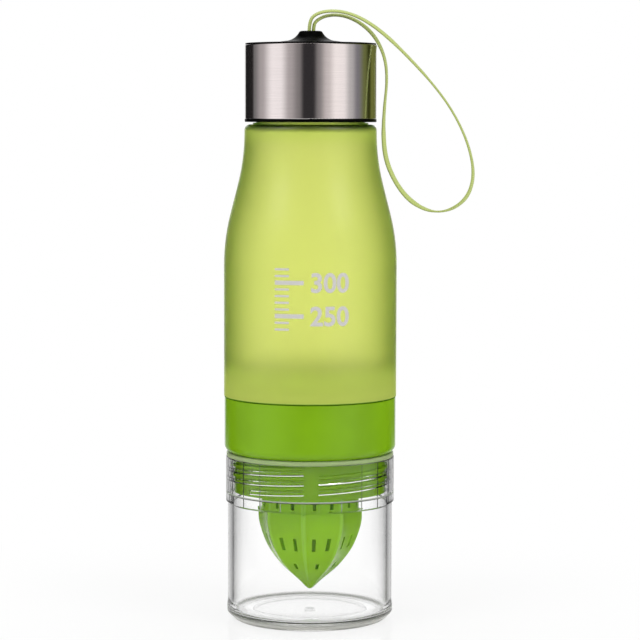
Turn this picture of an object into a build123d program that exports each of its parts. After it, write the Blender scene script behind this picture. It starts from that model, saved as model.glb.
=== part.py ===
from build123d import *
import os
from math import atan2, pi, radians, tan

# A fruit infuser water bottle, in millimetres: a clear cup, a citrus juicer, a frosted bottle
# and a steel-clad lid with a wrist strap, screwed together one above the other.
# The origin is the centre of the cup's foot, on the surface that it stands on.
# +Z is up along the bottle's axis, and the front of the bottle faces -Y.

# Threads. All three joints turn on the same right-handed ridges, with two starts.
thread_lead = 8.2
thread_starts = 2
thread_rise = 9.2
thread_depth = 1.1
thread_clearance = 0.4
ridge_foot_width = 2.0
ridge_crest_width = 1.0
ridge_sink = 0.3
thread_margin = 2.3
skirt_thread_margin = 4.2
thread_first_angle = -136
thread_split_angle = -89
thread_split_width = 6.0

# Bottle body. Its radius sets those of the juicer's band and of the cup below it.
body_gap = 0.3
body_radius = 36.2
body_wall = 2.0
body_height = 113.7
shoulder_radius = 27.6
# The shoulder's slope starts and ends at these shares of the body's height, and each of its two
# bends takes a share of the slope's rise.
shoulder_start_share = 0.5787
shoulder_end_share = 0.876
shoulder_lower_share = 0.315
shoulder_upper_share = 0.32
shoulder_corner = 2.4
shoulder_inner_corner = 1.2
spigot_wall = 1.9
body_seal_thickness = 2.0
body_seal_inset = 0.1
neck_height = 17.4
neck_wall = 2.2
collar_clearance = 0.2
collar_slack = 0.3

# Juicer: one moulding with an outer band, a flange, a threaded skirt, a floor and a reamer
juicer_band_inset = 0.2
juicer_band_wall = 1.6
juicer_band_height = 23.2
juicer_flange = 2.0
juicer_skirt_wall = 1.7
juicer_skirt_depth = 16.3
juicer_floor = 1.7
juicer_corner = 3.3
juicer_top_rounding = 0.3
reamer_radius = 22.1
reamer_length = 34.7
reamer_neck_radius = 20.9
reamer_neck_length = 7.6
reamer_wall = 1.6
reamer_tip_wall = 4.5
reamer_rib_count = 8
reamer_rib_angle = -97
# How far out the valley between two ribs lies, as a share of the ribs' own radius.
reamer_valley_share = 0.89
# The reamer's outline from its widest circle to its tip, each point as a share of its radius
# and of its length below that circle.
reamer_outline_shares = [
    (1.0, 0.0), (0.997, 0.12), (0.962, 0.24), (0.90, 0.36), (0.815, 0.48), (0.69, 0.60),
    (0.53, 0.72), (0.315, 0.84), (0.155, 0.93), (0.03, 1.0),
]
# The slots' middles lie at shares of the reamer's length below its widest circle, and at a share
# of the neck's length above it. Their heights are shares of the same lengths.
slot_width = 1.6
slot_height_share = 0.159
slot_down_share = 0.386
slot_offset_angle = 10
tip_slot_width = 1.3
tip_slot_height_share = 0.069
tip_slot_down_share = 0.677
neck_slot_height_share = 0.34
neck_slot_up_share = 0.41

# Cup seal, a translucent ring between the cup's rim and the juicer's flange
cup_seal_thickness = 1.8
cup_seal_inset = 0.25
seal_slack = 0.3
seal_rounding = 0.5

# Clear cup
cup_height = 68.8
cup_band_inset = 0.6
cup_band_wall = 2.0
cup_band_proud = 0.7
cup_band_height = 18.8
cup_band_depth = 15.0
cup_wall = 2.4
cup_bulge_proud = 0.3
cup_bulge_start = 3.0
cup_bulge_end = 5.6
cup_bulge_fall = 2.0
cup_bulge_rounding = 5.0
cup_foot_inset = 3.2
cup_step = 0.8
cup_floor_top = 3.5
cup_foot_recess = 0.5
cup_foot_width = 2.4
cup_ring_radius = 23.0
cup_ring_step = 0.4
cup_nub_radius = 2.4
cup_nub_height = 0.7
cup_corner = 1.4
cup_floor_corner = 2.0
cup_rim_rounding = 0.35
grip_line_count = 12
grip_line_first = 5.0
grip_line_step = 15.5
grip_line_depth = 0.2
grip_line_width = 0.7

# Lid: a threaded inner cap, its seal, a steel shell round it and a cover that closes the top.
# The shoulder's radius sets those of the lid.
lid_gap = 1.0
lip_height = 1.2
lip_inset = 0.05
shell_inset = 0.05
shell_height = 30.8
shell_thickness = 0.5
shell_fold_width = 1.5
shell_foot_rounding = 0.3
shell_slack = 0.2
lid_seal_thickness = 2.0
lid_seal_width = 3.5
cap_ceiling = 2.0
cap_wall = 3.25
cap_upper_wall = 2.65
cover_inset = 0.35
cover_brim = 0.6
cover_plate = 1.6
cover_skirt_wall = 1.5
cover_skirt_depth = 6.0
cover_skirt_slack = 0.1
boss_height = 5.15
boss_radius = 4.2
boss_shoulder_radius = 4.75
boss_shoulder_drop = 0.3
boss_foot_radius = 18.0
boss_cone_radius = 10.8
boss_cone_height = 1.0
boss_flare_radius = 7.4
boss_flare_height = 2.0
eye_length = 5.0
eye_width = 2.6

# Wrist strap and the knot that holds it
strap_diameter = 2.0
strap_spread = 2.3
strap_start_drop = 1.35
knot_radius = 3.4
knot_height = 6.4
knot_rounding = 2.4
knot_slack = 0.3
# The strap's way from above one side of the boss's eye round its loop to above the other side:
# distance to the right of the axis, distance behind it, and height above the boss's top.
strap_route = [
    (-1.15, 0.0, 3.9), (1.3, -0.6, 8.0), (7.4, -1.2, 9.6), (14.6, -1.4, 8.8),
    (22.6, -1.4, 5.2), (31.6, -1.3, -1.3), (41.1, -1.2, -10.6), (50.4, -1.1, -20.9),
    (58.6, -1.0, -32.0), (64.6, -0.9, -43.6), (67.7, -0.8, -54.0), (67.9, -0.6, -62.3),
    (65.2, -0.3, -69.3), (59.6, 0.0, -73.9), (53.0, 0.3, -75.4), (46.4, 0.5, -73.6),
    (40.0, 0.8, -69.0), (34.7, 1.0, -61.6), (31.0, 1.1, -52.6), (29.9, 1.1, -42.0),
    (30.3, 1.2, -31.0), (31.5, 1.2, -20.5), (31.0, 1.3, -10.6), (27.9, 1.4, -2.4),
    (22.8, 1.5, 2.8), (16.6, 1.5, 6.2), (10.6, 1.3, 7.6), (5.6, 0.9, 7.2),
    (2.3, 0.3, 4.9), (1.15, 0.0, 2.4),
]
strap_bend_share = 0.45

# One overrun for every cut that has to pass right through a wall
overrun = 1.0

# Heights in the stack, from the surface up
flange_z = cup_height + cup_seal_thickness
flange_top_z = flange_z + juicer_flange
skirt_z = flange_z - juicer_skirt_depth
band_top_z = flange_z + juicer_band_height
spigot_z = flange_top_z + body_seal_thickness
body_z = band_top_z + body_gap
shoulder_z = body_z + body_height
neck_top_z = shoulder_z + neck_height
lid_z = shoulder_z + lid_gap
shell_z = lid_z + lip_height
shell_top_z = shell_z + shell_height
ceiling_z = neck_top_z + lid_seal_thickness
brim_top_z = shell_top_z + cover_brim
boss_top_z = brim_top_z + boss_height

# Radii from the outside in. A threaded wall inside a bore leaves room for the ridges.
thread_fall = thread_depth + thread_clearance
juicer_band_radius = body_radius - juicer_band_inset
juicer_band_bore = juicer_band_radius - juicer_band_wall
spigot_radius = juicer_band_bore - thread_fall
cup_band_radius = juicer_band_radius - cup_band_inset
cup_band_bore = cup_band_radius - cup_band_wall
cup_wall_radius = cup_band_radius - cup_band_proud
cup_bulge_radius = cup_wall_radius + cup_bulge_proud
cup_foot_radius = cup_bulge_radius - cup_foot_inset
cup_seal_radius = cup_band_radius - cup_seal_inset
skirt_radius = cup_band_bore - thread_fall
shell_radius = shoulder_radius - shell_inset
lip_radius = shell_radius - lip_inset
cover_radius = shell_radius - cover_inset
cap_bore = shell_radius - cap_wall
cap_inner_radius = shell_radius - cap_upper_wall
neck_radius = cap_bore - thread_fall
neck_bore = neck_radius - neck_wall
collar_radius = cap_bore - collar_clearance
reamer_base_z = skirt_z - reamer_neck_length


def turned(*corners):
    """A solid turned about the axis from corners given as radius, height and rounding."""
    outline = FilletPolyline(
        [(radius, height) for radius, height, rounding in corners],
        radius=[rounding for radius, height, rounding in corners],
        close=True,
    )
    return revolve(make_face(Plane.XZ * outline), Axis.Z)


def ring(outer, inner, bottom, top, rounding=0.0):
    """A plain ring, with its outer edges rounded."""
    return turned(
        (inner, bottom, 0), (outer, bottom, rounding), (outer, top, rounding), (inner, top, 0)
    )


def thread_ridges(wall_radius, outward, start_z):
    """The ridges of one thread on a wall, pointing out of it (1) or into the bore (-1)."""
    path = Helix(thread_lead, thread_rise, wall_radius)
    foot = -outward * ridge_sink
    crest = outward * thread_depth
    section = Plane(origin=path @ 0, x_dir=(1, 0, 0), z_dir=path % 0) * make_face(
        Polyline(
            (foot, -ridge_foot_width / 2), (crest, -ridge_crest_width / 2),
            (crest, ridge_crest_width / 2), (foot, ridge_foot_width / 2), close=True,
        )
    )
    ridge = sweep(section, path=path, is_frenet=True)
    split_reach = 2 * wall_radius + 4 * thread_depth
    split_height = 2 * (thread_rise + ridge_foot_width)
    split = Rot(0, 0, thread_split_angle) * Box(split_reach, thread_split_width, split_height)
    turns = [thread_first_angle + start * 360 / thread_starts for start in range(thread_starts)]
    ridges = [Rot(0, 0, turn) * ridge - split for turn in turns]
    return [Pos(0, 0, start_z) * piece for whole in ridges for piece in whole.solids()]


def ribbed_section(radius, level):
    """One cross-section of the ribbed cone: a shallow arc from each rib's crest to the next."""
    step = 360 / reamer_rib_count
    arcs = []
    for rib in range(reamer_rib_count):
        start = reamer_rib_angle + rib * step
        crest, valley, next_crest = [
            Vector(out, 0, 0).rotate(Axis.Z, turn) for out, turn in (
                (radius, start), (radius * reamer_valley_share, start + step / 2), (radius, start + step)
            )
        ]
        arcs.append(ThreePointArc(crest, valley, next_crest))
    return Pos(0, 0, level) * make_face(arcs)


def make_reamer_hollow(top_z):
    """The inside of the neck and of the cone, which keeps a wall below every valley."""
    radius = reamer_radius * reamer_valley_share - reamer_wall
    length = reamer_length - reamer_tip_wall
    side = [
        (radius * across, reamer_base_z - length * down) for across, down in reamer_outline_shares
    ]
    tip_z = side[-1][1]
    outline = [(0, tip_z), *reversed(side), (radius, top_z), (0, top_z)]
    return revolve(make_face(Plane.XZ * Polyline(*outline, close=True)), Axis.Z)


def ring_of(cutter, angles):
    """The same cutter at each of a list of angles about the axis."""
    return [Rot(0, 0, angle) * cutter for angle in angles]


def make_reamer():
    """The hollow, ribbed and slotted cone that hangs below the juicer's floor."""
    top_z = skirt_z + juicer_floor
    cone = loft([
        ribbed_section(reamer_radius * across, reamer_base_z - reamer_length * down)
        for across, down in reamer_outline_shares
    ])
    neck = ring(reamer_neck_radius, 0, reamer_base_z, top_z)
    hollow = make_reamer_hollow(top_z + overrun)
    step = 360 / reamer_rib_count
    middles = [reamer_rib_angle + (rib + 0.5) * step for rib in range(reamer_rib_count)]
    pairs = [middle + side * slot_offset_angle for middle in middles for side in (-1, 1)]
    reach = reamer_radius
    slot_z = reamer_base_z - reamer_length * slot_down_share
    tip_slot_z = reamer_base_z - reamer_length * tip_slot_down_share
    neck_slot_z = reamer_base_z + reamer_neck_length * neck_slot_up_share
    side_slot = Pos(reach / 2 + slot_width, 0, slot_z) * Box(
        reach, slot_width, reamer_length * slot_height_share
    )
    tip_slot = Pos(reach / 2 + slot_width, 0, tip_slot_z) * Box(
        reach, tip_slot_width, reamer_length * tip_slot_height_share
    )
    neck_slot = Pos(reach, 0, neck_slot_z) * Box(
        reach, slot_width, reamer_neck_length * neck_slot_height_share
    )
    slots = ring_of(side_slot, pairs) + ring_of(tip_slot, middles) + ring_of(neck_slot, pairs)
    return (cone + neck) - hollow - slots


def make_clear_cup():
    ledge_z = cup_height - cup_band_depth
    band_z = cup_height - cup_band_height
    bore = cup_wall_radius - cup_wall
    foot_inner = cup_foot_radius - cup_foot_width
    cup = turned(
        (0, cup_foot_recess + cup_ring_step, 0),
        (cup_ring_radius, cup_foot_recess + cup_ring_step, 0),
        (cup_ring_radius, cup_foot_recess, 0),
        (foot_inner, cup_foot_recess, 0),
        (foot_inner, 0, 0),
        (cup_foot_radius, 0, cup_corner),
        (cup_bulge_radius, cup_bulge_start, cup_corner),
        (cup_bulge_radius, cup_bulge_end, cup_bulge_rounding),
        (cup_wall_radius, cup_bulge_end + cup_bulge_fall, cup_bulge_rounding),
        (cup_wall_radius, band_z - cup_step, 0),
        (cup_band_radius, band_z, cup_rim_rounding),
        (cup_band_radius, cup_height, cup_rim_rounding),
        (cup_band_bore, cup_height, 0),
        (cup_band_bore, ledge_z, 0),
        (bore, ledge_z - cup_step, 0),
        (bore, cup_floor_top, cup_floor_corner),
        (0, cup_floor_top, 0),
    )
    nub_top = cup_foot_recess + cup_ring_step
    cup += Pos(0, 0, nub_top) * Cylinder(cup_nub_radius, 2 * cup_nub_height)
    line_reach = cup_band_radius + grip_line_width / 2 - grip_line_depth
    line = Pos(line_reach, 0, band_z) * Cylinder(
        grip_line_width / 2, cup_height + overrun, align=(Align.CENTER, Align.CENTER, Align.MIN)
    )
    angles = [
        thread_split_angle + side * (grip_line_first + mark * grip_line_step)
        for mark in range(grip_line_count) for side in (-1, 1)
    ]
    cup -= ring_of(line, angles)
    start = skirt_z + skirt_thread_margin - thread_lead / thread_starts / 2
    return cup + thread_ridges(cup_band_bore, -1, start)


def make_cup_seal():
    inner = skirt_radius + seal_slack
    return ring(cup_seal_radius, inner, cup_height, flange_z, seal_rounding)


def make_juicer():
    skirt_bore = skirt_radius - juicer_skirt_wall
    floor_bore = reamer_radius * reamer_valley_share - reamer_wall
    shell = turned(
        (floor_bore, skirt_z, 0),
        (skirt_radius, skirt_z, 0),
        (skirt_radius, flange_z, 0),
        (juicer_band_radius, flange_z, juicer_corner),
        (juicer_band_radius, band_top_z, juicer_top_rounding),
        (juicer_band_bore, band_top_z, 0),
        (juicer_band_bore, flange_top_z, 0),
        (skirt_bore, flange_top_z, 0),
        (skirt_bore, skirt_z + juicer_floor, 0),
        (floor_bore, skirt_z + juicer_floor, 0),
    )
    skirt_start = skirt_z + skirt_thread_margin
    band_start = spigot_z + thread_margin - thread_lead / thread_starts / 2
    ridges = thread_ridges(skirt_radius, 1, skirt_start)
    ridges += thread_ridges(juicer_band_bore, -1, band_start)
    return shell + make_reamer() + ridges


def make_body_seal():
    outer = spigot_radius - body_seal_inset
    return ring(outer, outer - spigot_wall, flange_top_z, spigot_z)


def make_bottle_body():
    bore = body_radius - body_wall
    spigot_bore = spigot_radius - spigot_wall
    lower_z = body_z + body_height * shoulder_start_share
    upper_z = body_z + body_height * shoulder_end_share
    shoulder_rise = upper_z - lower_z
    inner_shoulder = shoulder_radius - body_wall
    half_turn = atan2(body_radius - shoulder_radius, shoulder_rise) / 2
    reach = shoulder_rise / tan(half_turn)
    lower_bend = reach * shoulder_lower_share
    upper_bend = reach * shoulder_upper_share
    body = turned(
        (spigot_bore, spigot_z, 0),
        (spigot_radius, spigot_z, 0),
        (spigot_radius, body_z, 0),
        (body_radius, body_z, juicer_top_rounding),
        (body_radius, lower_z, lower_bend),
        (shoulder_radius, upper_z, upper_bend),
        (shoulder_radius, shoulder_z, shoulder_corner),
        (collar_radius, shoulder_z, 0),
        (collar_radius, lid_z - collar_slack, 0),
        (neck_radius, lid_z - collar_slack, 0),
        (neck_radius, neck_top_z, 0),
        (neck_bore, neck_top_z, 0),
        (neck_bore, shoulder_z - body_wall, 0),
        (inner_shoulder, shoulder_z - body_wall, shoulder_inner_corner),
        (inner_shoulder, upper_z, upper_bend),
        (bore, lower_z, lower_bend),
        (bore, body_z + body_wall, 0),
        (spigot_bore, body_z + body_wall, 0),
    )
    neck_start = neck_top_z - thread_margin - thread_rise
    ridges = thread_ridges(spigot_radius, 1, spigot_z + thread_margin)
    ridges += thread_ridges(neck_radius, 1, neck_start)
    return body + ridges


def make_lid_seal():
    outer = cap_bore - seal_slack
    return ring(outer, outer - lid_seal_width, neck_top_z, ceiling_z)


def make_lid_cap():
    """The threaded cap, with the lip that shows below the steel."""
    outer = shell_radius - shell_thickness - shell_slack
    fold_z = shell_top_z - shell_thickness
    cap = turned(
        (0, ceiling_z, 0),
        (cap_bore, ceiling_z, 0),
        (cap_bore, lid_z, 0),
        (lip_radius, lid_z, cup_rim_rounding),
        (lip_radius, shell_z, 0),
        (outer, shell_z, 0),
        (outer, fold_z, 0),
        (cap_inner_radius, fold_z, 0),
        (cap_inner_radius, ceiling_z + cap_ceiling, 0),
        (0, ceiling_z + cap_ceiling, 0),
    )
    start = neck_top_z - thread_margin - thread_rise - thread_lead / thread_starts / 2
    return cap + thread_ridges(cap_bore, -1, start)


def make_lid_steel_shell():
    inner = shell_radius - shell_thickness
    fold_inner = shell_radius - shell_fold_width
    return turned(
        (inner, shell_z, 0),
        (shell_radius, shell_z, shell_foot_rounding),
        (shell_radius, shell_top_z, shell_thickness),
        (fold_inner, shell_top_z, 0),
        (fold_inner, shell_top_z - shell_thickness, 0),
        (inner, shell_top_z - shell_thickness, 0),
    )


def make_lid_top_cover():
    """The cover, whose boss flares up to the eye that the strap comes out of."""
    plate_z = brim_top_z - cover_plate
    skirt_outer = cap_inner_radius - cover_skirt_slack
    skirt_inner = skirt_outer - cover_skirt_wall
    skirt_bottom = shell_top_z - cover_skirt_depth
    flare = ThreePointArc(
        (boss_cone_radius, brim_top_z + boss_cone_height),
        (boss_flare_radius, brim_top_z + boss_flare_height),
        (boss_shoulder_radius, boss_top_z - boss_shoulder_drop),
    )
    rest = Polyline(
        flare @ 1, (boss_radius, boss_top_z), (0, boss_top_z), (0, plate_z),
        (skirt_inner, plate_z), (skirt_inner, skirt_bottom), (skirt_outer, skirt_bottom),
        (skirt_outer, shell_top_z), (cover_radius, shell_top_z), (cover_radius, brim_top_z),
        (boss_foot_radius, brim_top_z), flare @ 0,
    )
    cover = revolve(make_face(Plane.XZ * (flare + rest)), Axis.Z)
    eye = extrude(SlotOverall(eye_length, eye_width), boss_top_z + overrun)
    return cover - eye


def bend_radii(points):
    """For each corner of a route, the largest bend that its two runs leave room for."""
    radii = []
    for before, corner, after in zip(points, points[1:], points[2:]):
        arriving = Vector(corner) - Vector(before)
        leaving = Vector(after) - Vector(corner)
        half_turn = radians(arriving.get_angle(leaving)) / 2
        shorter = min(arriving.length, leaving.length)
        radii.append(strap_bend_share * shorter / tan(half_turn))
    return radii


def make_lanyard():
    """The strap's loop as a round tube along straight runs and the bends between them."""
    loop = [(right, back, boss_top_z + height) for right, back, height in strap_route]
    start, end = [(side * strap_spread / 2, 0, boss_top_z - strap_start_drop) for side in (-1, 1)]
    points = [start, *loop, end]
    radii = bend_radii(points)
    path = FilletPolyline(points, radius=radii)
    section = Plane(origin=path @ 0, z_dir=path % 0) * Circle(strap_diameter / 2)
    tube = sweep(section, path=path)
    expected = pi * (strap_diameter / 2) ** 2 * path.length
    print("strap bends", [round(radius, 1) for radius in radii])
    print("strap length", round(path.length, 1), "volume", round(tube.volume, 2), round(expected, 2))
    return tube


def make_lanyard_knot():
    """The knot below the eye, with the two strands that run up into the boss."""
    top_z = brim_top_z - cover_plate - knot_slack
    knot = turned(
        (0, top_z - knot_height, 0), (knot_radius, top_z - knot_height, knot_rounding),
        (knot_radius, top_z, knot_rounding), (0, top_z, 0),
    )
    middle_z = top_z - knot_height / 2
    strand = Cylinder(
        strap_diameter / 2, boss_top_z - strap_start_drop - middle_z,
        align=(Align.CENTER, Align.CENTER, Align.MIN),
    )
    return knot + [Pos(side * strap_spread / 2, 0, middle_z) * strand for side in (-1, 1)]


pieces = {
    "clear_cup": make_clear_cup,
    "cup_seal": make_cup_seal,
    "juicer": make_juicer,
    "body_seal": make_body_seal,
    "bottle_body": make_bottle_body,
    "lid_seal": make_lid_seal,
    "lid_cap": make_lid_cap,
    "lid_steel_shell": make_lid_steel_shell,
    "lid_top_cover": make_lid_top_cover,
    "lanyard": make_lanyard,
    "lanyard_knot": make_lanyard_knot,
}

os.makedirs("parts", exist_ok=True)
for name, make in pieces.items():
    export_step(make(), f"parts/{name}.step")
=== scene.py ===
import math

import bmesh
import bpy
from bpy.props import FloatProperty, FloatVectorProperty, IntProperty, PointerProperty
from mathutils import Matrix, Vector


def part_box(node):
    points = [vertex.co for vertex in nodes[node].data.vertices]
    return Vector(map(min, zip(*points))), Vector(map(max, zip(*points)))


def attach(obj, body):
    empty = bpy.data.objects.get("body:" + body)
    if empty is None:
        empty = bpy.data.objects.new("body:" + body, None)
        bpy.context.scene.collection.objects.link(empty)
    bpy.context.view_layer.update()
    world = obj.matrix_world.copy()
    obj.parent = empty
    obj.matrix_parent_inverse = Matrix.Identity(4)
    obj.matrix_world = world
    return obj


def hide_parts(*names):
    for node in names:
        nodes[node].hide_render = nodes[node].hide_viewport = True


bl_info = {
    "name": "Infuser Bottle",
    "version": (1, 0, 0),
    "blender": (4, 5, 0),
    "location": "3D View > Sidebar > Bottle",
    "description": "Dresses an infuser bottle: cup, juicer, frosted body, steel lid and strap",
    "category": "Object",
}

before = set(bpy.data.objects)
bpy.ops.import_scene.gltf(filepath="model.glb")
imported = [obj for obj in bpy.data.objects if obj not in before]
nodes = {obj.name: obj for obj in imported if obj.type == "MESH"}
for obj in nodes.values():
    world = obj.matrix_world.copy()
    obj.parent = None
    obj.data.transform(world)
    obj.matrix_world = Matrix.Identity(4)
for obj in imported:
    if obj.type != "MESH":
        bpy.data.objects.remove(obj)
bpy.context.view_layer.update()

# Sizes and heights of the solids, in metres.
BODY_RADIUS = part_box("bottle_body")[1].x
BOSS_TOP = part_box("lid_top_cover")[1].z
JUICER_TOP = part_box("juicer")[1].z
CUP_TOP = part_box("clear_cup")[1].z
# The lowest edge of the body's outer wall, which stands on the juicer's band.
BODY_HEM = min(
    corner.co.z for corner in nodes["bottle_body"].data.vertices
    if corner.co.xy.length > BODY_RADIUS - 0.001
)
# The body's rim, a narrow gap below the lid.
LID_GAP = 0.001
BODY_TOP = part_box("lid_cap")[0].z - LID_GAP
# The step inside the cup where its thread ends, and its floor: the height that its inside stays
# under, the radius of the moulded ring in it and that of the gate mark in its middle.
CUP_LEDGE = CUP_TOP - 0.015
CUP_FLOOR = 0.004
FLOOR_RING = 0.0238
GATE_MARK = 0.003
# The reamer's ribs: how many, and the angle of one round the axis.
RIB_COUNT = 8
RIB_ANGLE = math.radians(-97)


class Signal:
    """The output of a shader node, with the arithmetic that a finish is written in."""

    def __init__(self, finish, socket):
        self.finish = finish
        self.socket = socket

    def math(self, operation, *others):
        values = dict(enumerate((self, *others)))
        return self.finish.node("ShaderNodeMath", {"operation": operation}, values)

    def __add__(self, other):
        return self.math("ADD", other)

    def __sub__(self, other):
        return self.math("SUBTRACT", other)

    def __rsub__(self, other):
        return self.finish.node("ShaderNodeMath", {"operation": "SUBTRACT"}, {0: other, 1: self})

    def __mul__(self, other):
        return self.math("MULTIPLY", other)

    __radd__ = __add__
    __rmul__ = __mul__

    def between(self, low, high):
        """0 below low, 1 above high, and smooth in between."""
        settings = {"interpolation_type": "SMOOTHSTEP"}
        values = {"Value": self, "From Min": low, "From Max": high}
        return self.finish.node("ShaderNodeMapRange", settings, values)

    def near(self, middle, inner, outer):
        """1 nearer to the middle than inner, 0 further from it than outer, smooth in between."""
        return 1 - (self - middle).math("ABSOLUTE").between(inner, outer)


class Finish:
    """A material, a world or another owner of a node tree, built node by node."""

    def __init__(self, owner):
        owner.use_nodes = True
        self.owner = owner
        self.tree = owner.node_tree
        self.tree.nodes.clear()

    def node(self, kind, settings=None, values=None, output=0):
        """Adds a node and gives its output, or a list of them where output is a tuple."""
        made = self.tree.nodes.new(kind)
        for name, setting in (settings or {}).items():
            if name == "stops":
                self.set_stops(made.color_ramp, setting)
            else:
                setattr(made, name, setting)
        for name, value in (values or {}).items():
            socket = made.inputs[name]
            if isinstance(value, Signal):
                self.tree.links.new(value.socket, socket)
            else:
                socket.default_value = value
        if isinstance(output, tuple):
            return [Signal(self, made.outputs[name]) for name in output]
        return Signal(self, made.outputs[output]) if len(made.outputs) else made

    def set_stops(self, ramp, stops):
        """Gives a colour ramp its colours and their places, eased in between."""
        ramp.interpolation = "EASE"
        while len(ramp.elements) < len(stops):
            ramp.elements.new(1.0)
        for element, (place, colour) in zip(ramp.elements, stops):
            element.position = place
            element.color = colour

    def coordinates(self, name="Object"):
        """The place on a piece, in metres, or another kind of coordinates."""
        return self.node("ShaderNodeTexCoord", output=name)

    def parts(self, vector):
        """The three parts of a vector as signals."""
        return self.node("ShaderNodeSeparateXYZ", None, {0: vector}, (0, 1, 2))

    def joined(self, x, y, z):
        return self.node("ShaderNodeCombineXYZ", None, {0: x, 1: y, 2: z})

    def noise(self, vector, scale, detail=2.0, roughness=0.5):
        values = {"Vector": vector, "Scale": scale, "Detail": detail, "Roughness": roughness}
        return self.node("ShaderNodeTexNoise", {"noise_dimensions": "3D"}, values)

    def mix(self, share, low, high):
        """A colour between two others."""
        return self.node("ShaderNodeMix", {"data_type": "RGBA"}, {0: share, 6: low, 7: high}, 2)

    def blend(self, share, low, high):
        """A shader between two others."""
        return self.node("ShaderNodeMixShader", None, {0: share, 1: low, 2: high})

    def light(self, kind, colour, strength=1.0):
        """A shader that shines, of the kind for a material or of that for a world."""
        return self.node(kind, None, {"Color": colour, "Strength": strength})

    def bump(self, height, strength, distance):
        values = {"Height": height, "Strength": strength, "Distance": distance}
        return self.node("ShaderNodeBump", None, values)

    def surface(self, shader, volume=None):
        values = {"Surface": shader}
        if volume:
            values["Volume"] = volume
        kind = "World" if isinstance(self.owner, bpy.types.World) else "Material"
        self.node(f"ShaderNodeOutput{kind}", None, values)
        return self.owner

    def principled(self, **values):
        sockets = {name.replace("_", " "): value for name, value in values.items()}
        return self.node("ShaderNodeBsdfPrincipled", None, sockets)


def new_finish(name):
    return Finish(bpy.data.materials.new(name))


def dress(name, material):
    """Gives one frame node its finish."""
    piece = nodes[name]
    piece.data.materials.clear()
    piece.data.materials.append(material)


def solid(colour):
    return (*colour, 1.0)


def toned(colour, level, lift=0.0):
    """A colour made darker or lighter."""
    return solid([part * level + lift for part in colour])


WHITE = (1.0, 1.0, 1.0, 1.0)
BLACK = (0.0, 0.0, 0.0, 1.0)


# Where the cup's foot is frosted and has painted shade: under these heights and outside these
# radii.
FOOT_HEIGHTS = (0.0015, 0.004)
FOOT_RADII = (0.0305, 0.0335)
# The tones of the marks in the cup's floor, of the foot's frost and painted shade, and of the
# painted highlight along the step inside it.
MARK_TONE = (0.25, 0.25, 0.25)
FOOT_FROST_AND_SHADE_TONE = (0.78, 0.78, 0.73)
LEDGE_HIGHLIGHT_TONE = (0.85, 0.92, 0.78)
# How strong they are: the moulded ring, the floor inside it, the foot's frost and painted shade,
# and the step's painted highlight.
RING_SHARE = 0.8
POOL_SHARE = 0.35
FOOT_FROST_AND_SHADE_SHARE = 0.85
LEDGE_HIGHLIGHT_SHARE = 0.35


def clear_plastic():
    """Clear polished plastic, with frost and painted shade at the cup's foot and a painted
    highlight along the step inside it.
    """
    finish = new_finish("polished clear plastic")
    place = finish.coordinates()
    x, y, z = finish.parts(place)
    away = (x * x + y * y).math("SQRT")
    ring = away.near(FLOOR_RING, 0.0002, 0.0006) * RING_SHARE
    gate = 1 - away.between(GATE_MARK / 2, GATE_MARK)
    pool = (1 - away.between(FLOOR_RING - 0.001, FLOOR_RING)) * POOL_SHARE
    in_floor = 1 - z.between(CUP_FLOOR, CUP_FLOOR + 0.001)
    marks = ring.math("MAXIMUM", gate).math("MAXIMUM", pool) * in_floor
    haze = finish.noise(place, 60.0).between(0.35, 0.75)
    clear = finish.principled(
        Base_Color=finish.mix(marks, WHITE, solid(MARK_TONE)), Roughness=haze * 0.02 + 0.01,
        IOR=1.49, Transmission_Weight=1.0, Specular_IOR_Level=0.06,
        Specular_Tint=(0.2, 0.2, 0.2, 1.0),
    )
    # The foot and the step are far apart, so any height between them parts their tones.
    frost_and_painted_light_tone = finish.mix(z.between(0.01, 0.02), solid(FOOT_FROST_AND_SHADE_TONE), solid(LEDGE_HIGHLIGHT_TONE))
    frost_and_painted_light = finish.principled(Base_Color=frost_and_painted_light_tone, Roughness=haze * 0.1 + 0.4)
    # The foot: partly frosted plastic, partly painted shade in a fixed grey tone.
    foot = (1 - z.between(*FOOT_HEIGHTS)) * away.between(*FOOT_RADII) * FOOT_FROST_AND_SHADE_SHARE
    # Painted highlight: a pale matt line along the step inside the cup.
    ledge_highlight = z.near(CUP_LEDGE, 0.0001, 0.0004) * LEDGE_HIGHLIGHT_SHARE
    return finish.surface(finish.blend(foot.math("MAXIMUM", ledge_highlight), clear, frost_and_painted_light))


def seal_silicone():
    """Silicone that lets light through, with a fine grain."""
    finish = new_finish("translucent silicone")
    grain = finish.noise(finish.coordinates(), 900.0)
    shader = finish.principled(
        Base_Color=(0.84, 1.0, 0.54, 1.0), Roughness=0.3, IOR=1.41, Transmission_Weight=0.7,
        Specular_IOR_Level=0.2, Normal=finish.bump(grain, 0.1, 0.0001),
    )
    return finish.surface(shader)


# How much painted light makes the juicer lighter below the cup's rim, and how much more below the
# step, and the heights over which each begins.
RIM_SHARE = 0.35
STEP_SHARE = 0.65
RIM_HEIGHTS = (CUP_TOP - 0.002, CUP_TOP + 0.001)
STEP_HEIGHTS = (CUP_LEDGE - 0.002, CUP_LEDGE + 0.002)
# The painted highlight on the ribs' crests: the range of the wave round the axis that is a crest,
# how strong the highlight is, and how much lighter and paler it makes them.
CREST_WAVE = (0.90, 0.99)
CREST_HIGHLIGHT_SHARE = 0.6
CREST_HIGHLIGHT_LEVEL = 1.12
CREST_HIGHLIGHT_LIFT = 0.09
# How dark the streaks of the moulding are, on the band and in the cup.
BAND_STREAK = 0.88
CUP_STREAK = 0.85


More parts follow.
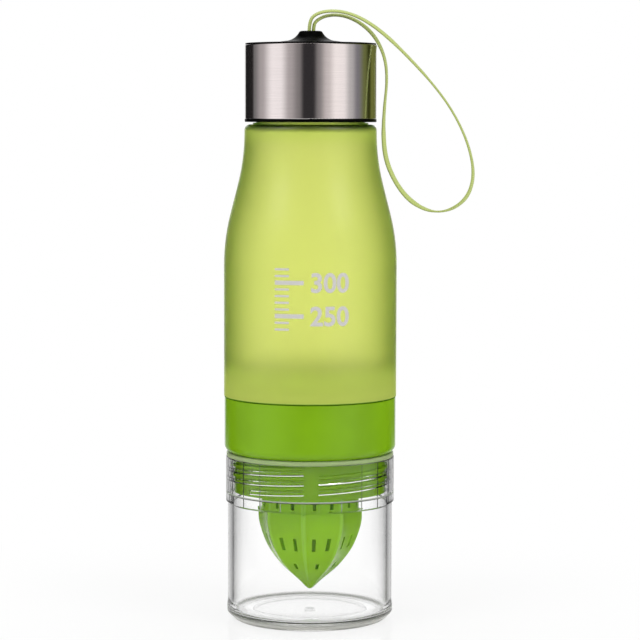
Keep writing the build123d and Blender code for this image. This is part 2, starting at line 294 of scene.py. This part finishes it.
def juicer_plastic(colour, painted_light_level):
    """Glossy green plastic, with painted light below the flange and painted highlights on the
    reamer's rib crests.
    """
    finish = new_finish("glossy green plastic")
    place = finish.coordinates()
    flow = finish.noise(place, 45.0)
    x, y, z = finish.parts(place)
    under_rim = 1 - z.between(*RIM_HEIGHTS)
    under_step = 1 - z.between(*STEP_HEIGHTS)
    # Painted light: a lighter copy of the colour below the cup's rim, and more below the step.
    thin = under_rim * RIM_SHARE + under_step * STEP_SHARE
    wave = ((y.math("ARCTAN2", x) - RIB_ANGLE) * RIB_COUNT).math("COSINE")
    # Painted highlight along the reamer's rib crests, below the step.
    crest_highlight = wave.between(*CREST_WAVE) * under_step * CREST_HIGHLIGHT_SHARE
    whole = finish.mix(thin, solid(colour), toned(colour, painted_light_level))
    whole = finish.mix(crest_highlight, whole, toned(colour, painted_light_level * CREST_HIGHLIGHT_LEVEL, CREST_HIGHLIGHT_LIFT))
    streak = finish.mix(thin, toned(colour, BAND_STREAK), toned(colour, painted_light_level * CUP_STREAK))
    streak = finish.mix(crest_highlight, streak, toned(colour, painted_light_level, CREST_HIGHLIGHT_LIFT))
    shader = finish.principled(
        Base_Color=finish.mix(flow.between(0.3, 0.7), whole, streak), Roughness=0.16, IOR=1.5,
        Transmission_Weight=0.25, Specular_IOR_Level=0.14, Normal=finish.bump(flow, 0.05, 0.0005),
    )
    return finish.surface(shader)


# The body's milky share: everywhere, more near its rim and most at its hem.
MILK_SHARE = 0.10
RIM_MILK = 0.13
HEM_MILK = 0.64
# The heights over which it fades above the hem, grows towards the rim and ends at the rim.
HEM_FADE = (BODY_HEM, BODY_HEM + 0.021)
RIM_GROWTH = (BODY_TOP - 0.010, BODY_TOP - 0.004)
RIM_END = (BODY_TOP - 0.003, BODY_TOP - 0.0008)
# The painted light in the milk: how much lighter it is away from the hem, and the heights over
# which it becomes so.
PAINTED_MILK_LIGHT = 1.35
PAINTED_MILK_LIGHT_HEIGHTS = (BODY_HEM + 0.003, BODY_HEM + 0.014)
# How much painted shade darkens the body's clear skin at the rim, the heights over which it grows,
# and the tone of the painted contact shadow along the hem.
RIM_SHADE_LEVEL = 0.90
RIM_SHADE_HEIGHTS = (BODY_HEM + 0.03, BODY_TOP)
HEM_SHADOW_TONE = (0.12, 0.30, 0.01)
# How much light a metre of the body's plastic takes up.
BODY_DENSITY = 207.0


def frosted_plastic(surface_colour, depth_colour, milk_colour):
    """Plastic that lets light through and scatters it at its skin, and is milkier at its ends, with
    painted shade towards the rim, painted light in the milk above the hem and a painted contact
    shadow along the hem.
    """
    finish = new_finish("frosted green plastic")
    place = finish.coordinates()
    grain = finish.noise(place, 1800.0, 3.0)
    cloud = finish.noise(place, 30.0)
    _, _, z = finish.parts(place)
    tint = finish.mix(cloud.between(0.3, 0.7), solid(surface_colour), toned(surface_colour, 0.97))
    # Painted shade: the skin's tint darkens towards the rim.
    tint = finish.mix(z.between(*RIM_SHADE_HEIGHTS), tint, toned(surface_colour, RIM_SHADE_LEVEL))
    skin = finish.bump(grain, 0.12, 0.00008)
    clear = finish.principled(
        Base_Color=tint, Roughness=grain * 0.06 + 0.27, IOR=1.45, Transmission_Weight=1.0,
        Specular_IOR_Level=0.2, Normal=skin,
    )
    # Painted contact shadow: a thin dark line along the hem, where the body stands on the juicer's
    # band.
    hem_shadow = z.near(BODY_HEM, 0.0002, 0.0005)
    # Painted light: the milk is painted lighter above the hem than at it.
    painted_light_milk = toned(milk_colour, PAINTED_MILK_LIGHT)
    milk = finish.mix(z.between(*PAINTED_MILK_LIGHT_HEIGHTS), solid(milk_colour), painted_light_milk)
    milk = finish.mix(hem_shadow, milk, solid(HEM_SHADOW_TONE))
    milky = finish.principled(Base_Color=milk, Roughness=0.5, Specular_IOR_Level=0.1, Normal=skin)
    low = (1 - z.between(*HEM_FADE)) * HEM_MILK
    everywhere = (z.between(*RIM_GROWTH) * RIM_MILK + MILK_SHARE) * (1 - z.between(*RIM_END))
    share = low.math("MAXIMUM", hem_shadow).math("MAXIMUM", everywhere)
    values = {"Color": solid(depth_colour), "Density": BODY_DENSITY}
    depth = finish.node("ShaderNodeVolumeAbsorption", None, values)
    return finish.surface(finish.blend(share, clear, milky), depth)


def black_plastic():
    """Black moulded plastic with a fine satin grain."""
    finish = new_finish("black satin plastic")
    grain = finish.noise(finish.coordinates(), 1500.0, 3.0)
    shader = finish.principled(
        Base_Color=(0.0012, 0.0012, 0.0012, 1.0), Roughness=grain * 0.1 + 0.3,
        Specular_IOR_Level=0.03, Normal=finish.bump(grain, 0.2, 0.0001),
    )
    return finish.surface(shader)


# The brushed rings, broad and fine: how often their noise changes in a radian round the axis and
# in a metre of height.
BROAD_RINGS = (1.2, 9000.0)
FINE_RINGS = (3.0, 30000.0)


def brushed_steel():
    """Steel brushed round the axis: fine rings that differ a little in roughness and tone."""
    finish = new_finish("brushed steel")
    x, y, z = finish.parts(finish.coordinates())
    turn = y.math("ARCTAN2", x)
    around, up = BROAD_RINGS
    broad = finish.noise(finish.joined(turn * around, z * up, 0.0), 1.0, 4.0, 0.7)
    around, up = FINE_RINGS
    fine = finish.noise(finish.joined(turn * around, z * up, 3.0), 1.0)
    grain = broad * 0.65 + fine * 0.35
    tone = finish.mix(grain.between(0.3, 0.7), (0.66, 0.635, 0.63, 1.0), (0.80, 0.765, 0.76, 1.0))
    shader = finish.principled(
        Base_Color=tone, Metallic=1.0, Roughness=grain * 0.06 + 0.06,
        Normal=finish.bump(grain, 0.1, 0.00005),
    )
    return finish.surface(shader)


# The strap's weave: its picks in a metre, its ribs side by side, and where across it, from 0 in
# the middle to 0.5, its darker edges begin and are full.
PICKS_PER_METRE = 1200.0
RIBS_ACROSS = 4.0
STRAP_EDGE = (0.30, 0.48)


def strap_weave(colour):
    """Flat woven tape: ribs along it, crossed by fine picks, with painted shade in their hollows,
    and darker at its two edges.
    """
    finish = new_finish("woven strap")
    across, along, _ = finish.parts(finish.node("ShaderNodeUVMap", {"uv_map": "weave"}))
    picks = (along * (2 * PICKS_PER_METRE * math.pi)).math("SINE") * 0.5 + 0.5
    ribs = (across * (2 * RIBS_ACROSS * math.pi)).math("COSINE") * 0.5 + 0.5
    height = picks * 0.45 + ribs * 0.55
    edge = (across - 0.5).math("ABSOLUTE").between(*STRAP_EDGE)
    # Painted shade in the weave's hollows: darker where the bump's height is low.
    tint = finish.mix(height, toned(colour, 0.80), solid(colour))
    tint = finish.mix(edge * 0.55, tint, toned(colour, 0.55))
    shader = finish.principled(
        Base_Color=tint, Roughness=0.55, Sheen_Weight=0.2,
        Normal=finish.bump(height, 0.5, 0.0001),
    )
    return finish.surface(shader)


def print_ink(colour):
    """Matt pale ink, a little uneven."""
    finish = new_finish("pale print")
    speck = finish.noise(finish.coordinates(), 1200.0)
    tint = finish.mix(speck, toned(colour, 0.94), solid(colour))
    return finish.surface(finish.principled(Base_Color=tint, Roughness=0.5))


# The screens that stand round the bottle and show in its gloss: the bearing of each from the
# camera, in degrees to the right, and its colour.
SCREENS = [
    (-180, (1.0, 1.0, 1.0)), (-164, (1.0, 1.0, 1.0)), (-154, (0.012, 0.012, 0.012)),
    (-122, (0.02, 0.018, 0.018)), (-114, (0.22, 0.21, 0.21)), (-94, (0.50, 0.46, 0.46)),
    (-68, (1.14, 1.08, 1.08)), (-55, (1.12, 1.06, 1.06)), (-36, (0.52, 0.48, 0.48)),
    (-20, (0.26, 0.24, 0.24)), (-11, (0.035, 0.032, 0.034)), (5, (0.035, 0.032, 0.034)),
    (14, (0.28, 0.26, 0.26)), (30, (0.74, 0.68, 0.67)), (45, (1.15, 1.08, 1.06)),
    (58, (1.12, 1.05, 1.04)), (74, (0.58, 0.56, 0.56)), (90, (0.24, 0.23, 0.25)),
    (108, (0.17, 0.19, 0.06)), (123, (0.030, 0.036, 0.004)), (134, (0.18, 0.20, 0.045)),
    (156, (0.13, 0.14, 0.045)), (166, (1.0, 1.0, 1.0)), (180, (1.0, 1.0, 1.0)),
]
# How light it is behind the frosted and the clear plastic, by the same bearings.
BEHIND = [
    (-180, 1.0), (-168, 1.0), (-150, 0.24), (-134, 0.03), (-98, 0.03), (-74, 1.0), (74, 1.0),
    (98, 0.03), (134, 0.03), (150, 0.24), (168, 1.0), (180, 1.0),
]
# How dark the table top behind the cup is where it shows in the cup's walls, by how far to the
# side a place is for each step behind the cup. It starts beside the cup.
STRIP_START = 0.036
STRIP_REACH = 10.0
STRIPS = [
    (0.0, 0.0), (0.12, 0.02), (0.2, 0.14), (0.35, 0.38), (0.5, 0.5), (1.0, 1.0), (2.6, 1.0),
    (3.4, 0.8), (6.0, 0.6), (10.0, 0.5),
]
# The ring of table top in the shade of the cup's foot, from its inner to its outer radius.
FOOT_SHADE = (0.0225, 0.0345)
# How far from the axis the table top begins to be plain white, and where it is.
WHITE_REACH = (0.07, 0.22)


def grey(screens):
    """The same list with each level as a grey."""
    return [(place, (level, level, level)) for place, level in screens]


def by_bearing(finish, right, back, screens):
    """The colour of the screen in the direction of a place, seen from the bottle."""
    bearing = right.math("ARCTAN2", back * -1.0) * (0.5 / math.pi) + 0.5
    stops = [(0.5 + turn / 360, solid(colour)) for turn, colour in screens]
    return finish.node("ShaderNodeValToRGB", {"stops": stops}, {"Fac": bearing})


def rays(finish):
    """Whether a ray comes from the camera, from gloss and from clear plastic."""
    kinds = ("Is Camera Ray", "Is Glossy Ray", "Is Transmission Ray")
    return finish.node("ShaderNodeLightPath", output=kinds)


def floor_white(sizes):
    """A glossy white table top that is nearly white by itself and keeps a faint shadow."""
    finish = new_finish("white table top")
    place = finish.coordinates()
    speck = finish.noise(place, 20.0)
    gloss = finish.principled(
        Base_Color=(0.9, 0.9, 0.9, 1.0), Roughness=speck * 0.02 + 0.06, IOR=1.3,
    )
    x, y, _ = finish.parts(place)
    away = (x * x + y * y).math("SQRT")
    spread = (x.math("ABSOLUTE") - STRIP_START).math("DIVIDE", y.math("MAXIMUM", 0.01))
    stops = [(slant / STRIP_REACH, solid(level)) for slant, level in grey(STRIPS)]
    spread = spread * (1 / STRIP_REACH)
    strips = finish.node("ShaderNodeValToRGB", {"stops": stops}, {"Fac": spread})
    strips = strips * y.between(0.0, 0.03)
    inner, outer = FOOT_SHADE
    under_foot = away.between(inner, inner + 0.003) * (1 - away.between(outer, outer + 0.003))
    shaded = (strips * sizes.strip_shade).math("MAXIMUM", under_foot * sizes.foot_shade)
    seen, mirrored, through = rays(finish)
    white = finish.light("ShaderNodeEmission", WHITE)
    dark = finish.light("ShaderNodeEmission", BLACK)
    bent = (mirrored + through).math("MINIMUM", 1.0)
    shown = finish.blend(bent, white, finish.blend(shaded, white, dark))
    anywhere = (seen + mirrored + through).math("MINIMUM", 1.0)
    whitened = finish.blend(anywhere, gloss, shown)
    share = away.between(*WHITE_REACH) * (1 - sizes.floor_whiteness) + sizes.floor_whiteness
    return finish.surface(finish.blend(share, gloss, whitened))


def new_mesh_piece(name, points, faces, material, uvs=None):
    """A mesh object from points and faces, with its UVs given one a corner."""
    mesh = bpy.data.meshes.new(name)
    mesh.from_pydata(points, [], faces)
    mesh.materials.append(material)
    if uvs:
        layer = mesh.uv_layers.new(name="weave")
        for corner, uv in zip(layer.data, uvs):
            corner.uv = uv
    mesh.validate()
    piece = bpy.data.objects.new(name, mesh)
    bpy.context.scene.collection.objects.link(piece)
    return piece


class BottleSettings(bpy.types.PropertyGroup):
    body_colour: FloatVectorProperty(
        name="Body colour", description="Frosted skin of the body", subtype="COLOR",
        default=(1.0, 0.915, 0.665),
    )
    body_depth_colour: FloatVectorProperty(
        name="Body depth colour", description="What a thick stretch of the body lets through",
        subtype="COLOR", default=(0.68, 0.945, 0.0),
    )
    body_milk_colour: FloatVectorProperty(
        name="Body milk colour", description="Milky part of the body, most at its lower end",
        subtype="COLOR", default=(0.61, 0.73, 0.125),
    )
    juicer_colour: FloatVectorProperty(
        name="Juicer colour", description="Glossy plastic of the juicer", subtype="COLOR",
        default=(0.27, 0.54, 0.008),
    )
    # Painted light: how much lighter the juicer is painted inside the cup.
    juicer_glow: FloatProperty(
        name="Juicer glow", description="How much lighter the juicer's thin walls are in the cup",
        default=1.6,
    )
    strap_colour: FloatVectorProperty(
        name="Strap colour", description="Woven strap", subtype="COLOR", default=(0.56, 0.66, 0.19),
    )
    print_colour: FloatVectorProperty(
        name="Print colour", description="Level marks on the body", subtype="COLOR",
        default=(0.58, 0.57, 0.54),
    )
    strap_width: FloatProperty(
        name="Strap width", description="Width of the flat strap", default=0.0025, unit="LENGTH",
    )
    strap_thickness: FloatProperty(
        name="Strap thickness", description="Thickness of the flat strap", default=0.0008,
        unit="LENGTH",
    )
    mark_width: FloatProperty(
        name="Scale width", description="Width of the printed scale", default=0.032, unit="LENGTH",
    )
    mark_middle: FloatProperty(
        name="Scale middle", description="How far right of the front the scale's middle is",
        default=0.0013, unit="LENGTH",
    )
    mark_step: FloatProperty(
        name="Mark step", description="Height between two level marks", default=0.00272,
        unit="LENGTH",
    )
    mark_foot: FloatProperty(
        name="Mark foot", description="Height of the lowest level mark", default=0.1249,
        unit="LENGTH",
    )
    mark_count: IntProperty(name="Mark count", description="Number of level marks", default=10)
    number_height: FloatProperty(
        name="Number height", description="Height of the printed numbers", default=0.0078,
        unit="LENGTH",
    )
    floor_whiteness: FloatProperty(
        name="Floor whiteness", description="Share of plain white in the table top", default=0.74,
        subtype="FACTOR",
    )
    foot_shade: FloatProperty(
        name="Foot shade", description="How dark the table top is under the foot's ring",
        default=0.25, subtype="FACTOR",
    )
    strip_shade: FloatProperty(
        name="Strip shade", description="How dark the table top behind the cup is", default=1.0,
        subtype="FACTOR",
    )
    camera_distance: FloatProperty(
        name="Camera distance", description="From the lens to the bottle's axis", default=1.0062,
        unit="LENGTH",
    )
    camera_height: FloatProperty(
        name="Camera height", description="Height of the lens over the table", default=0.2106,
        unit="LENGTH",
    )
    camera_tilt: FloatProperty(
        name="Camera tilt", description="How far the camera looks down",
        default=math.radians(4.81), subtype="ANGLE",
    )


def settings():
    return bpy.context.scene.infuser_bottle


class DressCup(bpy.types.Operator):
    """Gives the cup its clear plastic"""

    bl_idname = "bottle.dress_cup"
    bl_label = "Clear cup"

    def execute(self, context):
        dress("clear_cup", clear_plastic())
        return {"FINISHED"}


class DressSeals(bpy.types.Operator):
    """Gives the three ring seals their silicone"""

    bl_idname = "bottle.dress_seals"
    bl_label = "Seals"

    def execute(self, context):
        silicone = seal_silicone()
        for name in ("cup_seal", "body_seal", "lid_seal"):
            dress(name, silicone)
        return {"FINISHED"}


class DressJuicer(bpy.types.Operator):
    """Gives the juicer its glossy green plastic"""

    bl_idname = "bottle.dress_juicer"
    bl_label = "Juicer"

    def execute(self, context):
        sizes = settings()
        dress("juicer", juicer_plastic(sizes.juicer_colour, sizes.juicer_glow))
        return {"FINISHED"}


class DressBody(bpy.types.Operator):
    """Gives the body its frosted plastic"""

    bl_idname = "bottle.dress_body"
    bl_label = "Body"

    def execute(self, context):
        sizes = settings()
        colours = (sizes.body_colour, sizes.body_depth_colour, sizes.body_milk_colour)
        dress("bottle_body", frosted_plastic(*colours))
        return {"FINISHED"}


class DressLid(bpy.types.Operator):
    """Gives the lid its steel and its black plastic"""

    bl_idname = "bottle.dress_lid"
    bl_label = "Lid"

    def execute(self, context):
        plastic = black_plastic()
        dress("lid_cap", plastic)
        dress("lid_top_cover", plastic)
        dress("lid_steel_shell", brushed_steel())
        return {"FINISHED"}


# The strap's route: distance to the right of the axis, distance behind it, and height above the
# boss's top, in metres. It starts inside the eye, goes round the loop and ends inside the eye.
STRAP_ROUTE = [
    (-0.0007, 0.0, -0.00135), (-0.0007, -0.0001, 0.0034), (0.0014, -0.0006, 0.0068),
    (0.0070, -0.0012, 0.0084), (0.0144, -0.0014, 0.0079), (0.0224, -0.0014, 0.0047),
    (0.0313, -0.0013, -0.0017), (0.0408, -0.0012, -0.0109), (0.0503, -0.0011, -0.0211),
    (0.0586, -0.0010, -0.0320), (0.0646, -0.0009, -0.0436), (0.0677, -0.0008, -0.0540),
    (0.0680, -0.0006, -0.0623), (0.0654, -0.0003, -0.0693), (0.0597, 0.0, -0.0739),
    (0.0530, 0.0003, -0.0754), (0.0464, 0.0005, -0.0736), (0.0400, 0.0008, -0.0690),
    (0.0348, 0.0010, -0.0616), (0.0312, 0.0011, -0.0526), (0.0303, 0.0011, -0.0420),
    (0.0308, 0.0012, -0.0310), (0.0319, 0.0012, -0.0205), (0.0311, 0.0013, -0.0112),
    (0.0274, 0.0014, -0.0030), (0.0224, 0.0015, 0.0023), (0.0163, 0.0015, 0.0058),
    (0.0104, 0.0013, 0.0069), (0.0056, 0.0009, 0.0062), (0.0023, 0.0003, 0.0043),
    (0.0011, 0.0001, 0.0022), (0.0011, 0.0, -0.00135),
]
# How far the strap is turned from edge-on, in degrees, at shares of its length.
STRAP_TURNS = [
    (0.0, 25), (0.05, 24), (0.08, 24), (0.17, 31), (0.20, 22), (0.24, 18), (0.27, 9),
    (0.33, 8), (0.36, 11), (0.40, 15), (0.42, 19), (0.44, 27), (0.48, 33), (0.50, 26), (0.53, 4),
    (0.56, -28), (0.58, -45), (0.62, -42), (0.66, -45), (0.70, -41), (0.72, -28), (0.74, -22),
    (0.77, -14), (0.80, -17), (0.83, -22), (0.86, -30), (0.88, -31), (0.95, -25), (1.0, -25),
]
# The order of the smooth line through the route, and its points for each of the route's.
STRAP_ORDER = 3
STRAP_STEPS = 14


def route_line():
    """Points along the smooth line of the strap's route."""
    curve = bpy.data.curves.new("strap_line", "CURVE")
    curve.dimensions = "3D"
    curve.resolution_u = STRAP_STEPS
    spline = curve.splines.new("NURBS")
    spline.points.add(len(STRAP_ROUTE) - 1)
    for point, (right, back, height) in zip(spline.points, STRAP_ROUTE):
        point.co = (right, back, BOSS_TOP + height, 1.0)
    spline.order_u = STRAP_ORDER
    spline.use_endpoint_u = True
    holder = bpy.data.objects.new("strap_line", curve)
    bpy.context.scene.collection.objects.link(holder)
    bpy.context.view_layer.update()
    mesh = bpy.data.meshes.new_from_object(holder)
    line = [vertex.co.copy() for vertex in mesh.vertices]
    bpy.data.objects.remove(holder)
    bpy.data.meshes.remove(mesh)
    return line


def turn_at(share):
    """The strap's turn at a share of its length, eased between the named places."""
    for (low, start), (high, end) in zip(STRAP_TURNS, STRAP_TURNS[1:]):
        if share <= high:
            part = (share - low) / (high - low)
            return math.radians(start + (end - start) * part * part * (3 - 2 * part))
    return math.radians(STRAP_TURNS[-1][1])


def strap_section(width, thickness):
    """The strap's rounded flat section, as distances across and through it."""
    edge = thickness / 2
    flat = width / 2 - edge
    turns = [step * math.pi / 4 - math.pi / 2 for step in range(5)]
    right = [(flat + edge * math.cos(turn), edge * math.sin(turn)) for turn in turns]
    return right + [(-across, -through) for across, through in right]


def lengths_along(line):
    """How far along the line each of its points is."""
    lengths = [0.0]
    for before, after in zip(line, line[1:]):
        lengths.append(lengths[-1] + (after - before).length)
    return lengths


def ribbon_points(line, lengths, section):
    """The section's corners at each point of the line, turned as the strap is turned there."""
    points = []
    for index, place in enumerate(line):
        ahead = line[min(index + 1, len(line) - 1)] - line[max(index - 1, 0)]
        ahead.normalize()
        depth = Vector((0, 1, 0))
        depth = (depth - ahead * depth.dot(ahead)).normalized()
        side = ahead.cross(depth)
        turn = turn_at(lengths[index] / lengths[-1])
        wide = depth * math.cos(turn) + side * math.sin(turn)
        thin = ahead.cross(wide)
        points += [place + wide * across + thin * through for across, through in section]
    return points


def ribbon_faces(lengths, section, width):
    """The ribbon's sides and two ends, with the place across and along it of each corner."""
    count = len(section)
    faces, uvs = [], []
    for ring in range(len(lengths) - 1):
        for corner in range(count):
            after = (corner + 1) % count
            spots = [(corner, ring), (after, ring), (after, ring + 1), (corner, ring + 1)]
            faces.append([place * count + spot for spot, place in spots])
            uvs += [(section[spot][0] / width + 0.5, lengths[place]) for spot, place in spots]
    for ring in (0, len(lengths) - 1):
        cap = [ring * count + corner for corner in range(count)]
        faces.append(cap if ring else cap[::-1])
        uvs += [(0.5, lengths[ring])] * count
    return faces, uvs


class AddStrap(bpy.types.Operator):
    """Lays the flat woven strap along its route, for the plain tube, and dresses its knot"""

    bl_idname = "bottle.add_strap"
    bl_label = "Strap"

    def execute(self, context):
        sizes = settings()
        line = route_line()
        lengths = lengths_along(line)
        section = strap_section(sizes.strap_width, sizes.strap_thickness)
        points = ribbon_points(line, lengths, section)
        faces, uvs = ribbon_faces(lengths, section, sizes.strap_width)
        weave = strap_weave(sizes.strap_colour)
        strap = new_mesh_piece("strap_ribbon", points, faces, weave, uvs)
        strap.data.polygons.foreach_set("use_smooth", [True] * len(strap.data.polygons))
        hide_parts("lanyard")
        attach(strap, "lid")
        dress("lanyard_knot", weave)
        return {"FINISHED"}


# How far the print stands off the body, and in how many straight steps it follows it: a mark's
# steps, and the width of a number's.
MARK_LIFT = 0.00004
MARK_SLICES = 24
NUMBER_SLICE = 0.0008
# Shares of the scale's width: the marks' lengths, and where the numbers start.
LONG_MARK_SHARE = 0.38
SHORT_MARK_SHARE = 0.19
NUMBER_START_SHARE = 0.46
LONG_MARK_THICKNESS = 0.0018
SHORT_MARK_THICKNESS = 0.0009
# The type: its size and how much bolder it is made, for each metre of a number's height, and how
# finely its curves are stepped.
TYPE_SIZE = 1.4
TYPE_BOLDNESS = 0.035
TYPE_STEPS = 6
# The short marks below the first long one, the marks from one long one to the next, the first
# long one's number and what each mark adds to it, in millilitres.
MARKS_BELOW = 2
MARKS_BETWEEN = 5
FIRST_LEVEL = 250
LEVEL_STEP = 10


def on_body(across, height):
    """A point just over the front of the body, from its place across the front and its height."""
    radius = BODY_RADIUS + MARK_LIFT
    turn = across / radius
    return (radius * math.sin(turn), -radius * math.cos(turn), height)


def bar(left, right, bottom, top):
    """The points and faces of one printed bar that follows the body."""
    points, faces = [], []
    for step in range(MARK_SLICES + 1):
        across = left + (right - left) * step / MARK_SLICES
        points += [on_body(across, bottom), on_body(across, top)]
    for low in range(0, 2 * MARK_SLICES, 2):
        faces.append((low, low + 2, low + 3, low + 1))
    return points, faces


def number_print(text, left, middle, height):
    """The points and faces of a printed number that follows the body."""
    curve = bpy.data.curves.new(f"number_{text}", "FONT")
    curve.body = text
    curve.size = height * TYPE_SIZE
    curve.offset = height * TYPE_BOLDNESS
    curve.resolution_u = TYPE_STEPS
    holder = bpy.data.objects.new(curve.name, curve)
    bpy.context.scene.collection.objects.link(holder)
    bpy.context.view_layer.update()
    flat = bmesh.new()
    mesh = bpy.data.meshes.new_from_object(holder)
    flat.from_mesh(mesh)
    bmesh.ops.triangulate(flat, faces=flat.faces[:])
    low = min(vertex.co.y for vertex in flat.verts)
    high = max(vertex.co.y for vertex in flat.verts)
    reach = max(vertex.co.x for vertex in flat.verts)
    for cut in range(1, int(reach / NUMBER_SLICE) + 1):
        bmesh.ops.bisect_plane(
            flat, geom=flat.verts[:] + flat.edges[:] + flat.faces[:],
            plane_co=(cut * NUMBER_SLICE, 0, 0), plane_no=(1, 0, 0),
        )
    flat.verts.index_update()
    lift = middle - (low + high) / 2
    points = [on_body(left + vertex.co.x, lift + vertex.co.y) for vertex in flat.verts]
    faces = [tuple(vertex.index for vertex in face.verts) for face in flat.faces]
    flat.free()
    bpy.data.objects.remove(holder)
    bpy.data.meshes.remove(mesh)
    return points, faces


class AddLevelMarks(bpy.types.Operator):
    """Prints a plain scale of level marks and numbers on the front of the body"""

    bl_idname = "bottle.add_level_marks"
    bl_label = "Level marks"

    def execute(self, context):
        sizes = settings()
        left = sizes.mark_middle - sizes.mark_width / 2
        pieces = []
        for mark in range(sizes.mark_count):
            height = sizes.mark_foot + mark * sizes.mark_step
            is_long = (mark - MARKS_BELOW) % MARKS_BETWEEN == 0
            length = sizes.mark_width * (LONG_MARK_SHARE if is_long else SHORT_MARK_SHARE)
            half = (LONG_MARK_THICKNESS if is_long else SHORT_MARK_THICKNESS) / 2
            pieces.append(bar(left, left + length, height - half, height + half))
            if is_long:
                level = FIRST_LEVEL + LEVEL_STEP * (mark - MARKS_BELOW)
                start = left + sizes.mark_width * NUMBER_START_SHARE
                pieces.append(number_print(str(level), start, height, sizes.number_height))
        points, faces = [], []
        for more_points, more_faces in pieces:
            start = len(points)
            points += more_points
            faces += [tuple(corner + start for corner in face) for face in more_faces]
        marks = new_mesh_piece("level_marks", points, faces, print_ink(sizes.print_colour))
        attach(marks, "bottle")
        return {"FINISHED"}


# How strong the even light is that falls on the bottle from all sides.
EVEN_LIGHT = 0.85


def studio():
    """White where the camera looks, even light on the bottle, and screens in gloss and glass."""
    world = Finish(bpy.data.worlds.new("studio"))
    right, back, _ = world.parts(world.coordinates("Generated"))
    mirrored = by_bearing(world, right, back, SCREENS)
    behind = by_bearing(world, right, back, grey(BEHIND))
    seen, gloss, glass = rays(world)
    screens = world.light("ShaderNodeBackground", world.mix(glass, mirrored, behind))
    even = world.light("ShaderNodeBackground", WHITE, EVEN_LIGHT)
    white = world.light("ShaderNodeBackground", WHITE)
    bent = (gloss + glass).math("MINIMUM", 1.0)
    return world.surface(world.blend(seen, world.blend(bent, even, screens), white))


def add_lamp(name, place, size, power):
    """A soft square lamp that looks at the top of the juicer."""
    lamp = bpy.data.lights.new(name, "AREA")
    lamp.size = size
    lamp.energy = power
    holder = bpy.data.objects.new(name, lamp)
    holder.location = place
    aim = Vector((0, 0, JUICER_TOP)) - holder.location
    holder.rotation_euler = aim.to_track_quat("-Z", "Y").to_euler()
    holder.visible_glossy = False
    bpy.context.scene.collection.objects.link(holder)
    return holder


# Half the side of the table top.
FLOOR_HALF = 0.5
# The lamps at the left and the right, and the small one behind: place, size and power.
LAMP_LEFT = ((-1.2, -1.0, 1.3), 0.8, 8)
LAMP_RIGHT = ((1.2, -1.0, 1.3), 0.8, 8)
LAMP_BEHIND = ((0.0, 1.3, 0.2), 0.5, 0.35)
# The camera: its lens and its sensor's width in millimetres, how far it stands to the right of
# the axis, and its roll.
CAMERA_LENS = 135.2
CAMERA_SENSOR = 36.0
CAMERA_RIGHT = 0.0039
CAMERA_ROLL = math.radians(-0.13)


class SetStage(bpy.types.Operator):
    """Sets the white table top, the screens, the light and the camera"""

    bl_idname = "bottle.set_stage"
    bl_label = "Stage"

    def execute(self, context):
        sizes = settings()
        near, far = -FLOOR_HALF, FLOOR_HALF
        corners = [(near, near, 0.0), (far, near, 0.0), (far, far, 0.0), (near, far, 0.0)]
        floor = new_mesh_piece("table_top", corners, [(0, 1, 2, 3)], floor_white(sizes))
        add_lamp("lamp_left", *LAMP_LEFT)
        add_lamp("lamp_right", *LAMP_RIGHT)
        add_lamp("lamp_behind", *LAMP_BEHIND).visible_camera = False
        context.scene.world = studio()
        camera = bpy.data.cameras.new("camera")
        camera.lens = CAMERA_LENS
        camera.sensor_width = CAMERA_SENSOR
        holder = bpy.data.objects.new("camera", camera)
        holder.location = (CAMERA_RIGHT, -sizes.camera_distance, sizes.camera_height)
        holder.rotation_euler = (math.pi / 2 - sizes.camera_tilt, CAMERA_ROLL, 0)
        context.scene.collection.objects.link(holder)
        context.scene.camera = holder
        context.scene.view_settings.view_transform = "Standard"
        return {"FINISHED"}


OPERATORS = (
    DressCup, DressSeals, DressJuicer, DressBody, AddLevelMarks, DressLid, AddStrap, SetStage,
)


class BottlePanel(bpy.types.Panel):
    """Lists the pieces of the bottle and the values that a user would change"""

    bl_idname = "VIEW3D_PT_infuser_bottle"
    bl_label = "Infuser bottle"
    bl_space_type = "VIEW_3D"
    bl_region_type = "UI"
    bl_category = "Bottle"

    def draw(self, context):
        for name in BottleSettings.__annotations__:
            self.layout.prop(settings(), name)
        for operator in OPERATORS:
            self.layout.operator(operator.bl_idname)


CLASSES = (BottleSettings, *OPERATORS, BottlePanel)


def register():
    for cls in CLASSES:
        bpy.utils.register_class(cls)
    bpy.types.Scene.infuser_bottle = PointerProperty(type=BottleSettings)


def unregister():
    del bpy.types.Scene.infuser_bottle
    for cls in reversed(CLASSES):
        bpy.utils.unregister_class(cls)


def main():
    register()
    for operator in OPERATORS:
        group, name = operator.bl_idname.split(".")
        getattr(getattr(bpy.ops, group), name)()


if __name__ == "__main__":
    main()
